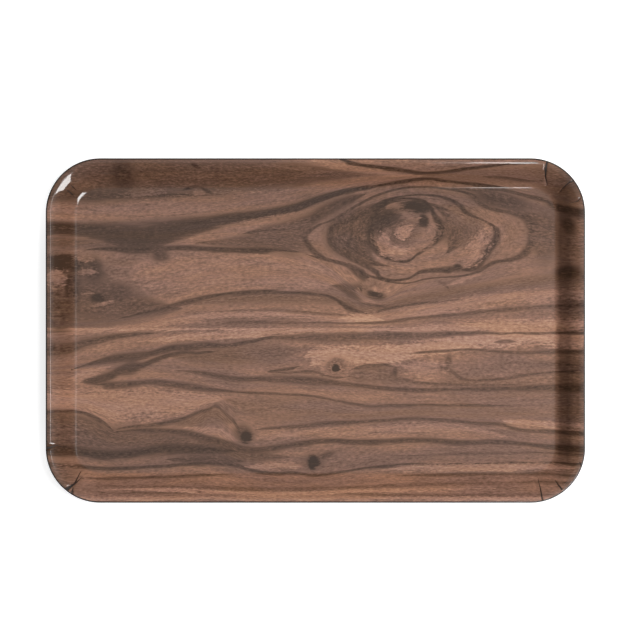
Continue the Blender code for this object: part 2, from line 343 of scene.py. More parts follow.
# The figure of the print, laid on like brush strokes from the broad fields to the fine lines.
# Each has its tone, how soft its edges are (1 all soft, 0.2 crisp), its upper width as a share of its
# lower one, and the points it runs through, as (x, y, lower half-width)
figure = {
    "backField": (88, 0.4, 1, [
        (-224, 128, 17), (-160, 127, 16), (-100, 127, 13.5), (-60, 127, 12), (-20, 127.5, 9.5),
        (0, 128, 6), (20, 127.5, 3), (40, 127, 0),
    ]),
    "backFieldFoot": (78, 1, 1, [(-224, 110, 4), (-180, 111, 5), (-150, 111, 3), (-60, 112, 0)]),
    "pinkField": (119, 0.8, 1, [
        (-158, 46, 0), (-140, 46, 10), (-110, 47, 14), (-50, 46, 13), (0, 43, 10), (15, 43, 6),
        (28, 42, 0),
    ]),
    "dimLeftSide": (85, 0.7, 1, [
        (-224, 24, 24), (-190, 26, 24), (-165, 24, 18), (-145, 20, 10), (-120, 18, 3), (-108, 18, 0),
    ]),
    "broadLight": (131, 0.6, 1, [
        (-224, -56, 6), (-205, -57, 8), (-180, -60, 11), (-140, -61, 12), (-110, -59, 9), (-88, -57, 4),
        (-60, -55, 0),
    ]),
    "rightLight": (141, 0.7, 1, [
        (-10, -22, 0), (-2, -21, 7), (20, -21, 7), (60, -20, 7), (90, -14, 6), (125, -9, 7),
        (155, -6, 6), (220, -8, 7),
    ]),
    "frontBrown": (104, 0.9, 1, [
        (-85, -60, 0), (-70, -62, 7), (-40, -64, 10), (0, -66, 9), (40, -69, 6), (90, -67, 5),
        (220, -66, 7),
    ]),
    "oliveRight": (105, 1, 1, [(95, -46, 0), (125, -46, 16), (220, -50, 20)]),
    "frontLeftField": (90, 0.8, 1, [
        (-224, -88, 14), (-170, -90, 10), (-120, -92, 9), (-80, -98, 8), (-50, -103, 5), (-20, -104, 0),
    ]),
    "halfRound": (90, 0.4, 1, [
        (-224, -80, 13), (-205, -79, 13), (-190, -80, 11), (-178, -83, 8), (-169, -85, 3),
        (-164, -86, 0),
    ]),
    "halfRoundEdge": (78, 0.8, 0.5, [
        (-224, -67, 2), (-205, -66, 2), (-190, -68, 2), (-178, -73, 2.5), (-169, -80, 2), (-166, -84, 0),
    ]),
    "tanBand": (118, 0.6, 1, [
        (-224, 95, 5), (-190, 95, 5.5), (-140, 99, 7), (-100, 103, 7.5), (-60, 107, 6.5), (-35, 110, 5),
        (-10, 113.5, 3.5), (5, 116, 3.5), (35, 121, 2.5), (65, 126, 1.5), (85, 127, 0),
    ]),
    "tanTongue": (126, 0.8, 1, [
        (-8, 140, 0), (5, 138, 2.5), (20, 134.5, 3), (50, 129.5, 1.8), (68, 127.5, 1.5), (90, 127, 0),
    ]),
    "backStripes": (98, 0.9, 1, [
        (-60, 132, 0), (-40, 134, 2), (-10, 132, 2), (20, 129, 1.5), (50, 128, 0),
    ]),
    "backRightField": (102, 0.9, 1, [
        (85, 126, 0), (110, 126, 4), (150, 127, 6), (185, 127, 7), (224, 124, 7),
    ]),
    "charcoalBand": (66, 0.6, 0.9, [
        (-224, 83, 5.5), (-190, 83, 6), (-165, 79, 10), (-150, 77, 12), (-130, 79, 12), (-110, 84, 8.5),
        (-90, 88, 6.5), (-70, 92, 5), (-40, 96, 4.5), (-20, 100, 4.5), (-5, 105, 4), (10, 110.5, 3),
        (30, 116, 1.8), (50, 119, 1.3), (70, 122, 1.5), (90, 124.3, 1.3), (110, 122.3, 1.2),
        (145, 119, 1.2), (160, 117, 0),
    ]),
    "darkLineBack": (66, 0.8, 1, [
        (14, 141, 0), (25, 138, 1.5), (35, 135.3, 1.5), (50, 133.5, 1.5), (70, 131, 1.5),
        (85, 128.8, 1.2), (100, 129, 1.2), (120, 131.5, 1.2), (140, 134, 1.2), (165, 136, 1),
        (185, 137, 0),
    ]),
    "darkLineBackLow": (80, 0.9, 1, [(135, 126, 0), (150, 125.5, 1.2), (170, 123.5, 1.2), (190, 122, 0)]),
    "shoulderLine": (76, 0.9, 0.7, [
        (105, 117, 0), (130, 116.5, 1.5), (155, 115.5, 2), (172, 111.5, 2), (188, 107.5, 2.5),
        (197, 103, 4), (210, 98, 4), (224, 96, 4),
    ]),
    "lightWedge": (114, 0.7, 1, [
        (-132, 68, 0), (-115, 71, 2), (-100, 74.5, 3), (-80, 79.5, 4), (-60, 85, 4.5), (-40, 90, 3.5),
        (-20, 94.5, 2.5), (0, 99, 2), (18, 104.5, 0),
    ]),
    "leftTongue": (90, 0.7, 1, [(-224, 71, 4), (-200, 72, 4.5), (-180, 71, 3), (-162, 69.5, 0)]),
    "darkShoulder": (78, 0.8, 1, [
        (-62, 79, 0), (-45, 81.5, 3), (-25, 84, 5), (-8, 89, 6), (5, 96.5, 6), (18, 103, 5),
        (30, 108, 3.5), (42, 112.5, 0),
    ]),
    "brownCheek": (87, 0.6, 1, [
        (-100, 72, 0), (-60, 73, 5), (-40, 74, 9), (-20, 76, 14), (-6, 79, 13), (2, 72, 0),
    ]),
    "cheekLine": (68, 0.8, 1, [
        (-195, 66, 0), (-170, 67, 2), (-145, 66, 3), (-115, 68, 2), (-85, 67, 2), (-60, 66, 2.2),
        (-45, 66, 2.5), (-25, 66, 1.5), (-12, 65, 0),
    ]),
    "palePleat": (124, 0.8, 1, [
        (-58, 64, 0), (-40, 61, 1.3), (-20, 57.5, 1.3), (0, 53, 1.2), (12, 49.5, 0),
    ]),
    "loopFoot": (74, 0.7, 1, [
        (-9, 63, 0), (3, 60, 1.3), (15, 57.3, 1.5), (25, 55, 1.8), (33, 50, 4), (40, 45, 5.5),
        (44, 43, 0),
    ]),
    "loopFootShade": (82, 1, 1, [(12, 37, 0), (22, 36, 2.5), (32, 34, 4), (38, 34, 5), (42, 34, 0)]),
    "wideDarkUnder": (96, 1, 1, [
        (-110, 21, 0), (-70, 26, 4), (-20, 27, 4.5), (20, 25, 4), (40, 19, 3), (58, 20, 3), (80, 25, 4),
        (110, 30, 5), (140, 34, 5), (180, 40, 5), (224, 46, 5),
    ]),
    "darkOverLight": (72, 0.8, 1, [
        (-165, 9, 0), (-140, 15, 1.5), (-120, 20, 1.8), (-100, 25, 1.8), (-80, 29, 1.5), (-60, 31, 1.5),
        (-40, 32, 1.5), (-20, 31, 1), (0, 30, 1), (10, 28.5, 1.2), (20, 23, 2), (27, 18.5, 3),
        (36, 15.5, 1.2), (46, 14.5, 1), (60, 18, 1.2), (75, 21, 1), (100, 23.5, 1), (130, 26, 0),
    ]),
    "lightMiddle": (127, 0.9, 1, [
        (-224, -4, 1.5), (-180, -1, 2), (-160, 1.5, 2.5), (-145, 3, 2), (-110, 9, 3), (-85, 12, 3),
        (-40, 14, 3), (0, 12, 3), (20, 10, 4), (50, 9, 5), (80, 14, 5), (110, 19, 5), (140, 25, 4),
        (170, 28, 4), (224, 30, 4),
    ]),
    "brightMiddle": (150, 1.2, 1, [(18, 10, 0), (28, 9.5, 3), (45, 9, 3.5), (58, 8.5, 0)]),
    "thinMiddleLine": (96, 0.9, 1, [
        (-90, 15.5, 0), (-60, 16.5, 1), (-40, 17, 1), (0, 14.5, 1), (20, 13, 0.8), (32, 12.5, 0),
    ]),
    "darkMiddle": (86, 0.9, 1, [
        (-80, 5, 0), (-70, 6.5, 1.3), (-50, 7, 1.3), (-30, 6.5, 1.2), (0, 6.5, 0.8), (30, 6, 0.7),
        (60, 7, 1), (80, 10, 1.3), (110, 12.5, 1.3), (150, 16.5, 1.5), (180, 19, 1.5), (224, 21, 1.8),
    ]),
    "rightLowLight": (139, 1, 1, [(60, 1, 1), (110, 2, 3), (150, 4, 4), (224, 6, 4)]),
    "lightStreak": (136, 0.9, 1, [
        (-150, -10, 0), (-120, -7, 2.5), (-85, -4, 2.5), (-55, -3, 2.5), (-25, -1.5, 1.5), (20, -0.5, 1),
        (100, 0.5, 1.2), (224, 1, 1.2),
    ]),
    "darkUnderStreak": (86, 0.9, 1, [
        (-50, -6, 0), (-25, -6, 2), (10, -6, 3.5), (50, -5, 3), (80, -4, 2.5), (110, -3, 2),
        (130, -2.2, 1.5), (160, -2, 0.8), (224, -2, 0.9),
    ]),
    "darkLeftUpper": (80, 0.8, 1, [
        (-224, -15, 6), (-205, -15, 5), (-190, -11, 4), (-175, -7, 2.5), (-160, -4.5, 2),
        (-145, -3, 1.3), (-128, -2.3, 0),
    ]),
    "darkLeftBand": (74, 0.7, 1, [
        (-203, -33, 0), (-190, -29, 1), (-178, -25.5, 2), (-165, -23, 3.5), (-150, -21.5, 3.5),
        (-135, -19, 2.5), (-120, -15, 3), (-105, -14, 3.2), (-90, -12.5, 3), (-75, -13, 2.2),
        (-60, -10.5, 1.8), (-50, -9, 1.8), (-42, -6.5, 1.3), (-30, -5, 0),
    ]),
    "bandShade": (94, 1, 1, [(-125, -20, 0), (-95, -22, 5), (-60, -20, 7), (-30, -18, 6), (-12, -17, 0)]),
    "darkLeftArm": (73, 0.7, 1, [
        (-194, -42, 0), (-182, -41, 3.5), (-170, -38, 3.8), (-160, -33, 4), (-152, -31, 5.5),
        (-143, -29, 2.5), (-130, -23.5, 2), (-115, -19, 1.3), (-90, -18, 1), (-76, -16, 0),
    ]),
    "darkLeftLeg": (80, 0.8, 1, [
        (-184, -44, 0), (-170, -45, 2.8), (-150, -44, 2.5), (-135, -42.5, 2), (-120, -44, 2.5),
        (-105, -46, 2.8), (-90, -48, 2), (-78, -49.5, 1.3), (-60, -51, 1), (-30, -52, 0.9),
        (0, -54.5, 0.9), (20, -58, 1), (32, -60.5, 1.1), (45, -62.5, 1.4), (60, -62, 1.2),
        (130, -61.5, 1.2), (170, -63, 0),
    ]),
    "armLight": (131, 0.8, 1, [(-204, -40, 0), (-192, -37, 3.5), (-177, -32.5, 2.8), (-168, -29, 0)]),
    "darkFrontBand": (80, 0.8, 1, [
        (-118, -33, 0), (-100, -34, 1.6), (-85, -36.5, 2), (-70, -39.5, 2), (-40, -40, 2.2),
        (-20, -40.5, 3), (0, -41.5, 3.2), (20, -43.5, 2), (40, -46, 2), (60, -48, 1.5), (80, -49, 1.5),
        (120, -48.5, 1.5), (160, -48, 2), (200, -47, 3), (224, -47, 4),
    ]),
    "boundaryLine": (88, 0.9, 1, [
        (66, -38, 0), (75, -41, 1.5), (88, -43.3, 1.3), (110, -44.5, 1), (140, -45, 1), (180, -44, 0),
    ]),
    "wedgeLine": (76, 0.8, 1, [(-42, -34, 0), (-30, -32.7, 1), (-20, -31.3, 1), (-8, -28, 0)]),
    "wedgeFoot": (86, 0.8, 1, [
        (-42, -34.2, 0), (-25, -34.8, 1), (0, -34.3, 1), (8, -37, 1), (18, -38.8, 0.9), (27, -38.3, 0),
    ]),
    "squiggleShade": (98, 0.6, 1, [(26, -38, 0), (36, -37, 6), (60, -37, 7), (68, -41, 3), (76, -44, 0)]),
    "squiggleLeft": (84, 0.8, 0.7, [
        (27, -33, 0), (36, -30, 1.6), (50, -28.5, 1.6), (60, -28.5, 1.6), (70, -32, 0),
    ]),
    "squiggleRight": (84, 0.8, 1, [
        (103, -31, 0), (107, -31.5, 1.5), (113, -34, 1.8), (118, -38.5, 2), (123, -40.3, 1),
        (135, -41, 1), (155, -39.5, 1), (175, -36.5, 1), (197, -34.5, 1), (224, -33, 1.5),
    ]),
    "darkRightLine": (84, 0.9, 1, [
        (72, -19, 0), (95, -17.5, 0.8), (120, -15.5, 1), (135, -16, 1), (150, -17.5, 1.2),
        (168, -18.5, 1.5), (190, -18, 1.5), (224, -17, 1.8),
    ]),
    "dash": (92, 1, 1, [(146, -9.5, 0), (152, -9, 1.2), (160, -8.6, 1.2), (167, -9, 0)]),
    "rightShade": (96, 1, 1, [(160, -26, 0), (185, -28, 3), (224, -28, 4)]),
    "humpShade": (98, 0.9, 1, [
        (-128, -76, 0), (-110, -75, 3.5), (-95, -73, 6), (-84, -70, 7), (-76, -72, 4), (-68, -77, 0),
    ]),
    "humpLine": (80, 0.8, 1, [
        (-168, -82, 0), (-150, -79, 1.3), (-135, -78, 1.5), (-122, -76, 1.8), (-110, -73, 1.6),
        (-98, -68, 1.5), (-88, -65, 1.2), (-82, -62.3, 1.3), (-77, -66, 1.5), (-72, -70.5, 1.6),
        (-67, -75, 1.8), (-63, -82, 2.5), (-60, -86, 0),
    ]),
    "arcLine": (80, 0.9, 1, [
        (-52, -82, 0), (-40, -80.5, 1), (-25, -79.7, 1.5), (-10, -79, 1.8), (5, -77, 2), (20, -76, 1.8),
        (40, -75, 1.5), (60, -74, 1.3), (80, -72.5, 1.4), (100, -73.5, 1.3), (120, -75, 1.3),
        (140, -77, 1.5), (152, -77, 1.5), (160, -79.7, 1.3), (170, -82, 1.3), (190, -83, 1.4),
        (224, -84, 2),
    ]),
    "lightUnderHump": (125, 0.9, 1, [
        (-112, -79.5, 0), (-95, -82, 2.5), (-80, -85, 4.5), (-70, -88, 3), (-64, -91, 0),
    ]),
    "lightUnderArc": (123, 0.9, 1, [
        (-50, -89, 0), (-38, -86.5, 3.5), (-20, -85, 3), (5, -83.5, 3), (40, -82.5, 3), (80, -80, 3.5),
        (110, -80, 3), (135, -83, 2), (160, -88, 0),
    ]),
    "brightFrontStreak": (134, 0.8, 1, [
        (152, -73.5, 0), (170, -76, 2.5), (200, -78, 2.3), (224, -78.5, 2.3),
    ]),
    "frontDarkBand": (76, 0.8, 1, [
        (-168, -84, 0), (-150, -82.5, 1.5), (-130, -82.5, 2), (-110, -84, 2.3), (-100, -86, 2.8),
        (-90, -89, 3), (-80, -91.5, 3), (-70, -94.5, 3), (-60, -97.5, 2.5), (-50, -98.5, 2.5),
        (-35, -97, 2.5), (-20, -94.5, 2.3), (5, -91, 1.8), (40, -92, 2), (80, -90.5, 2.2),
        (100, -91, 2.2), (120, -92.5, 2), (140, -92, 2), (165, -92.5, 1.6), (185, -95, 1.8),
        (224, -97, 3),
    ]),
    "frontLeftBand": (66, 0.9, 1, [
        (-224, -98, 3.5), (-200, -99, 4), (-180, -102, 4), (-160, -102, 3.5), (-140, -99.5, 3.5),
        (-120, -97.5, 4), (-100, -98, 3.5), (-80, -98.5, 2.5), (-62, -100, 0),
    ]),
    "bandFoot": (82, 1, 1, [(-125, -106, 0), (-100, -106.5, 4), (-75, -107, 3), (-55, -108, 0)]),
    "frontFineLine": (76, 0.8, 1, [
        (-224, -108, 2), (-195, -112, 1.8), (-175, -114, 1.8), (-150, -113, 1.5), (-130, -112, 1.2),
        (-100, -110, 1.2), (-80, -110, 1.4), (-65, -111, 1.6), (-50, -116, 1.2), (-35, -117.5, 1.2),
        (-15, -117.5, 1.1), (0, -119, 1.3), (15, -117.2, 1.2), (30, -115, 1), (50, -112.7, 1),
        (75, -110.3, 0.9), (110, -110.3, 1), (150, -109.3, 1), (224, -109, 1),
    ]),
    "rightFineLine": (90, 1, 1, [
        (60, -103, 0), (90, -102.5, 1), (140, -101, 1.2), (175, -100.5, 1), (224, -102, 1),
    ]),
    "lightFrontStreak": (132, 0.9, 1, [(-60, -112, 0), (-40, -112, 3), (-20, -111, 3), (-8, -113, 0)]),
    "lightFrontRight": (134, 0.9, 1, [
        (50, -115, 0), (80, -113.5, 2.5), (110, -113, 3), (150, -112.5, 3), (195, -112, 2.5),
        (215, -112, 0),
    ]),
    "wallFootLine": (86, 0.9, 1, [
        (60, -119.5, 0), (100, -119, 1.2), (130, -118.3, 1.2), (170, -118, 1.3), (200, -118, 1),
    ]),
    "wallLineLeft": (82, 1, 1, [
        (-195, -121.5, 0), (-170, -121.5, 1), (-140, -121, 1), (-100, -119.5, 1), (-60, -119, 0),
    ]),
    "wallLineMiddle": (94, 1, 1, [
        (-190, -127, 0), (-150, -127.5, 1.2), (0, -129, 1.2), (60, -127, 1.2), (200, -124, 1.2),
    ]),
    "wallLineLow": (94, 1, 1, [
        (-190, -132.5, 0), (-130, -132.5, 1.2), (-20, -130.5, 1), (60, -134, 1.3), (180, -134, 1.3),
        (200, -133, 0),
    ]),
    "wallLight": (133, 1, 1, [
        (-180, -129.8, 0), (-120, -130, 1.2), (-40, -133, 1.5), (60, -130.5, 1.2), (160, -129, 0),
    ]),
    # painted light: a lighter band along the front lip, where the rim catches the light
    "lipLight": (130, 1, 1, [(-200, -137, 1.5), (0, -137, 1.5), (200, -137, 1.5)]),
}

# The swirl round the burr: strokes that turn round its middle, from its left side through the front to
# the back. Its distances are squeezed along the tray, because the burr is longer than it is deep
swirlForm = {"x": 85, "y": 80, "squeeze": 0.45, "reach": 60}
swirl = {
    "oliveFringe": (88, 1, 1, [(182, 60, 0), (188, 70, 2.5), (190, 80, 3), (188, 90, 3), (178, 98, 0)]),
    "paleRing": (109, 0.6, 1, [
        (3, 79, 4), (6, 70, 4), (14, 63, 4), (30, 58, 3), (48, 51, 2), (70, 45, 2), (95, 46, 2),
        (130, 50, 2), (150, 59, 4), (163, 68, 5), (164, 78, 5.5), (162, 88, 5), (145, 97, 4),
        (125, 106, 3.5), (105, 112, 3), (80, 114, 3), (60, 111, 3), (45, 104, 3), (30, 96, 2.5),
        (12, 88, 3.5),
    ]),
    "brownInside": (79, 0.5, 1, [
        (30, 79, 9), (31, 71, 9), (36, 63, 6), (46, 56, 2.5), (62, 53, 0), (85, 56, 0), (105, 62, 0),
        (115, 72, 3), (117, 80, 4), (115, 90, 5), (108, 97, 3), (95, 104, 1), (78, 107, 0), (60, 105, 1),
        (45, 97, 6), (34, 88, 10),
    ]),
    "rightInside": (101, 0.9, 1, [(122, 66, 0), (125, 76, 6), (124, 88, 7), (116, 100, 6), (100, 108, 0)]),
    "outerLoop": (75, 0.8, 1, [
        (-9, 78, 1), (-6, 71, 1.2), (0, 64, 1.5), (8, 59, 1.2), (25, 54, 1), (48, 44, 0.8),
        (70, 39, 0.6), (95, 43, 0.6), (130, 47, 0.8), (146, 55.5, 1.2), (160, 58, 1.8), (172, 63, 1.8),
        (178, 72, 1.8), (179, 82, 2), (177, 90, 2.5), (165, 96.5, 2), (150, 99, 1.5), (138, 103, 1.3),
        (128, 112, 1), (105, 117, 0.8), (80, 118, 0.8), (55, 113, 0.8), (36, 104, 0.8), (20, 94, 0.8),
        (3, 87, 0.8),
    ]),
    "middleLoop": (70, 0.8, 1, [
        (12, 79, 1.2), (16, 68, 1.2), (28, 60, 1.2), (40, 54, 1.5), (50, 48, 1.5), (58, 42, 1.2),
        (75, 42.5, 1), (90, 49, 1.5), (105, 50, 2.2), (118, 51, 2.5), (128, 51, 2.5), (136, 58, 2.2),
        (143, 67, 1.8), (148.5, 75, 1.5), (149, 83, 1.2), (140, 90, 0.5), (126, 96, 1), (120, 102, 1.2),
        (110, 108, 1.2), (98, 111, 0.8), (75, 111, 0.5), (55, 106, 1), (42, 97, 1), (28, 90, 1),
        (15, 86, 1.2),
    ]),
    "innerLoop": (64, 0.9, 1, [
        (47, 79, 2), (48, 70, 1.8), (55, 62, 1.4), (65, 58, 1.3), (74, 57, 1.3), (84, 63, 1.4),
        (94, 70, 1.8), (101, 78, 2.4), (103, 85, 2.4), (99, 93, 2), (94, 102, 1.5), (84, 108, 1),
        (66, 108, 1), (54, 102, 2), (48, 90, 2.2),
    ]),
    "insideBurr": (112, 0.6, 1, [
        (62, 80, 5), (62, 72, 5.5), (66, 66, 5.5), (74, 64, 6), (84, 70, 6), (92, 78, 4), (93, 85, 3.5),
        (88, 90, 4), (75, 92, 5), (66, 88, 5),
    ]),
}

# Blots and small knots: middle, half-width and half-height, tilt in degrees, tone, softness
blots = {
    "smudge": (-158, 127, 9, 11, 0, 68, 1.2),
    "palePatch": (-143, 113, 13, 3.5, 5, 104, 1),
    "backMark": (-98, 134.5, 4, 1.2, -20, 62, 0.8),
    "forkLeft": (-103, 117.5, 6, 1.3, 15, 66, 0.8),
    "forkRight": (-90, 115.5, 6, 1.3, -25, 72, 0.8),
    "paleTriangle": (-96, 112.5, 4.5, 3, 0, 110, 0.8),
    "darkBlot": (-204, 55, 17, 8, -5, 54, 0.8),
    "darkBlotTail": (-183, 50, 9, 11, 20, 72, 0.9),
    "darkColumn": (-200, 36, 7, 16, 0, 70, 0.9),
    "palePinkA": (-190, 60, 7, 2.6, 0, 104, 0.8),
    "palePinkB": (-188, 48.5, 7, 2.2, 5, 106, 0.8),
    "palePinkC": (-213, 42, 9, 7, 0, 111, 0.7),
    "palePinkD": (-160, 46, 9, 4.2, 5, 104, 0.7),
    "palePinkE": (-160, 57, 12, 3, 5, 100, 1),
    "blotUnderBand": (-128, 62, 7, 5, -20, 76, 1),
    "dimCorner": (-210, 14, 12, 14, 0, 80, 1),
    "crescentDark": (-178, 27, 7, 3.5, 0, 54, 0.8),
    "crescentShade": (-163, 31, 10, 7, 10, 78, 0.9),
    "crescentPale": (-175, 22, 6.5, 1.8, 15, 106, 0.8),
    "crescentTop": (-187, 31, 5, 1.5, 0, 100, 0.9),
    "burrEye": (72.5, 81, 12.5, 10, 20, 80, 0.4),
    "burrShade": (53, 85, 5, 9, 0, 72, 1),
    "burrArc": (73, 82, 8, 6.5, 35, 124, 0.8),
    "burrGap": (82, 79, 6, 3, 45, 100, 1),
    "burrPale": (66, 65.5, 12, 3.6, 5, 130, 0.8),
    "crownLeft": (59, 92, 11, 8, 20, 62, 0.8),
    "crown": (83, 102, 12, 4.5, -8, 50, 0.8),
    "crownDrop": (88.5, 91, 4.5, 5.5, 0, 54, 0.9),
    "crownPale": (82, 92.5, 4.5, 2.3, 0, 106, 0.9),
    "lobeShade": (116, 80, 13, 8, 10, 83, 1.2),
    "lobePale": (133, 68, 7, 15, -30, 121, 0.9),
    "lobeFoot": (112, 60, 12, 3.5, 5, 112, 1),
    "spotA": (117, 53, 3, 1.8, 0, 60, 0.9),
    "spotB": (108, 49.3, 4, 1.5, 0, 64, 0.9),
    "spotC": (124, 50.3, 3, 1.3, 0, 62, 0.9),
    "curlA": (108, 36, 4, 1.1, -50, 82, 0.9),
    "curlB": (104, 39, 4, 1, -30, 92, 0.9),
    "palePleatRight": (122, 42, 12, 1.3, 20, 124, 0.9),
    "outerShade": (175, 94, 12, 3.5, -12, 78, 1),
    "burrLeftPale": (56, 73, 4.5, 7.5, 10, 118, 0.8),
    "shoulderShade": (152, 107, 27, 7, -14, 80, 0.7),
    "farShade": (189, 78, 12, 22, 0, 88, 0.7),
    "knotHaloLow": (48, 31, 12.5, 9, -10, 110, 0.5),
    "knotLoop": (47, 21, 12, 1.1, -8, 76, 0.8),
    "knotDark": (49, 29.3, 8, 3.2, -15, 60, 0.8),
    "knotPaleTop": (53, 33.8, 6, 1.8, 5, 120, 0.9),
    "knotPaleFoot": (44, 24.3, 5, 1.3, -15, 122, 0.9),
    "darkTail": (28, 30.5, 10, 2.6, -32, 78, 0.9),
    "squiggleSpot": (65.5, -34.5, 2.6, 4.2, 0, 82, 0.9),
    "squiggleNeck": (109.5, -25, 2.6, 5.5, -8, 88, 0.9),
    "paleBetween": (90, -31, 15, 7, 0, 122, 0.8),
    "pinHalo": (17, -30, 9.5, 7.5, 0, 118, 0.7),
    "pinRim": (17, -30, 6.8, 6.2, 0, 88, 0.4),
    "pinRing": (17, -30, 5.2, 4.8, 0, 118, 0.4),
    "pinCore": (16.7, -30.3, 3, 3, 0, 42, 0.6),
    "frontKnotShade": (-59, -85, 8, 6.5, -40, 82, 0.9),
    "frontKnot": (-57, -87.3, 4.3, 4, 20, 42, 0.7),
    "frontRightTail": (7, -103.5, 9, 2.4, 22, 80, 0.9),
    "frontRightHalo": (-2, -108.5, 8.5, 6.5, 0, 96, 0.8),
    "frontRightKnot": (-1.5, -108, 4.5, 5, 20, 46, 0.8),
    "frontRightKnotTip": (-2.5, -112, 2.5, 2.5, 0, 50, 0.9),
    "backRightPleat": (200, 123, 19, 15, -35, 96, 0.7),
    "frontLeftPleat": (-205, -121, 11, 12, 30, 98, 0.7),
    "rightBlot": (206, 48, 9, 5, 0, 76, 0.9),
    "rightBlotHigh": (207, 86, 5, 7, 30, 84, 0.9),
}


brushes = {
    "thinnest": 0.0005,  # a stroke narrower than this, as a share of the field, isn't drawn
    "spread": 1.4,       # how much softer strokes are laid than their softness says
    "wait": 1e-7,        # ties a stroke to the one below it without moving it
}


def newBrush(name, shapeInputs):
    # a brush's node group: the inputs of its shape, then those that both brushes take
    group = bpy.data.node_groups.new(name, "ShaderNodeTree")
    kinds = shapeInputs | {"Tone": "Float", "Paint": "Float", "Softness": "Float", "Grain": "Float"}
    for socket, kind in kinds.items():
        group.interface.new_socket(socket, in_out="INPUT", socket_type="NodeSocket" + kind)
    group.interface.new_socket("Tone", in_out="OUTPUT", socket_type="NodeSocketFloat")
    return group, group.nodes.new("NodeGroupInput").outputs


def layPaint(group, given, share, isDrawn):
    # share is 0 in the middle of the paint and 1 at its edge, which the grain makes ragged
    inside = addNode(group, "Math", {0: 1, 1: share}, operation="SUBTRACT").outputs[0]
    inside = addNode(group, "Math", {0: inside, 1: given["Grain"]}).outputs[0]
    cover = addNode(group, "Math", {0: inside, 1: given["Softness"]}, operation="DIVIDE").outputs[0]
    cover = {0: cover, 1: -0.5, 2: 0.5}
    cover = addNode(group, "MapRange", cover, interpolation_type="SMOOTHSTEP", clamp=False).outputs[0]
    cover = addNode(group, "Math", {0: cover, 1: isDrawn}, operation="MULTIPLY").outputs[0]
    mixed = addNode(group, "Mix", {0: cover, 2: given["Tone"], 3: given["Paint"]}).outputs[0]
    group.links.new(mixed, group.nodes.new("NodeGroupOutput").inputs[0])
    return group


def strokeGroup():
    # one brush stroke: its line carries the middle, the lower and the upper width in its three channels
    group, given = newBrush("brushStroke", {"Line": "Color", "Across": "Float"})
    line = addNode(group, "SeparateColor", {0: given["Line"]}).outputs
    off = addNode(group, "Math", {0: given["Across"], 1: line[0]}, operation="SUBTRACT").outputs[0]
    below = addNode(group, "Math", {0: off, 1: line[1]}, operation="DIVIDE").outputs[0]
    above = addNode(group, "Math", {0: off, 1: line[2]}, operation="DIVIDE").outputs[0]
    below = addNode(group, "Math", {0: below, 1: -1}, operation="MULTIPLY").outputs[0]
    share = addNode(group, "Math", {0: above, 1: below}, operation="MAXIMUM").outputs[0]
    isDrawn = {0: line[1], 1: brushes["thinnest"]}
    isDrawn = addNode(group, "Math", isDrawn, operation="GREATER_THAN").outputs[0]
    return layPaint(group, given, share, isDrawn)


def blotGroup():
    # one blot: its place is given in its own half-widths from its middle
    group, given = newBrush("blot", {"Place": "Vector"})
    share = addNode(group, "VectorMath", {0: given["Place"]}, operation="LENGTH").outputs[1]
    return layPaint(group, given, share, 1)


def paintBlots(tree, tone, place, feather):
    brush = bpy.data.node_groups.get("blot") or blotGroup()
    for x, y, halfWidth, halfHeight, tilt, paint, softness in blots.values():
        around = {0: place, 1: (x, y, 0), 2: (0, 0, math.radians(tilt)), 3: (halfWidth, halfHeight, 1)}
        moved = addNode(tree, "Mapping", around, vector_type="TEXTURE").outputs[0]
        given = {"Place": moved, "Tone": tone, "Paint": paint, "Softness": softness, "Grain": feather}
        tone = addNode(tree, "Group", given, node_tree=brush).outputs[0]
    return tone


def paintStrokes(tree, tone, along, across, feather, strokes):
    # strokes: points already run from 0 to 1, as (along, across, half-width)
    brush = bpy.data.node_groups.get("brushStroke") or strokeGroup()
    for paint, softness, upperShare, points in strokes:
        # a stroke waits for the one below it, so the shader never holds more than one line at a time
        waited = {0: tone, 1: brushes["wait"], 2: along}
        waited = addNode(tree, "Math", waited, operation="MULTIPLY_ADD").outputs[0]
        line = addNode(tree, "RGBCurve", {1: waited})
        line.mapping.extend = "HORIZONTAL"
        drawCurve(line.mapping.curves[0], [(a, b) for a, b, width in points])
        drawCurve(line.mapping.curves[1], [(a, width) for a, b, width in points], "VECTOR")
        drawCurve(line.mapping.curves[2], [(a, width * upperShare) for a, b, width in points], "VECTOR")
        line.mapping.update()
        given = {"Line": line.outputs[0], "Across": across, "Tone": tone, "Paint": paint, "Grain": feather}
        given["Softness"] = softness * brushes["spread"]
        tone = addNode(tree, "Group", given, node_tree=brush).outputs[0]
    return tone


def fieldPoint(x, y):
    field = printField
    return (x - field["left"]) / field["width"], (y - field["front"]) / field["depth"]


def swirlPoint(x, y):
    # the turn from the left side, 0 to 1, and the distance from the swirl's middle
    offX, offY = (x - swirlForm["x"]) * swirlForm["squeeze"], y - swirlForm["y"]
    return math.atan2(offY, offX) / math.tau + 0.5, math.hypot(offX, offY) / swirlForm["reach"]


def grainHeight(tree, along, across):
    # the height that a place stands for in the run of the grain, in millimetres
    levels = sorted(grainLines)
    lines = []
    for level in levels:
        curve = addNode(tree, "FloatCurve", {1: along})
        curve.mapping.extend = "HORIZONTAL"
        drawCurve(curve.mapping.curves[0], [fieldPoint(x, y) for x, y in grainLines[level]])
        curve.mapping.update()
        lines.append(curve.outputs[0])
    height = levels[0]
    for low, high, lower, upper in zip(levels, levels[1:], lines, lines[1:]):
        span = {0: across, 1: lower, 2: upper, 4: high - low}
        rise = addNode(tree, "MapRange", span, clamp=False).outputs[0]
        rise = addNode(tree, "Math", {0: rise, 1: high - low}, operation="MINIMUM").outputs[0]
        rise = addNode(tree, "Math", {0: rise, 1: 0}, operation="MAXIMUM").outputs[0]
        height = addNode(tree, "Math", {0: height, 1: rise}).outputs[0]
    return height


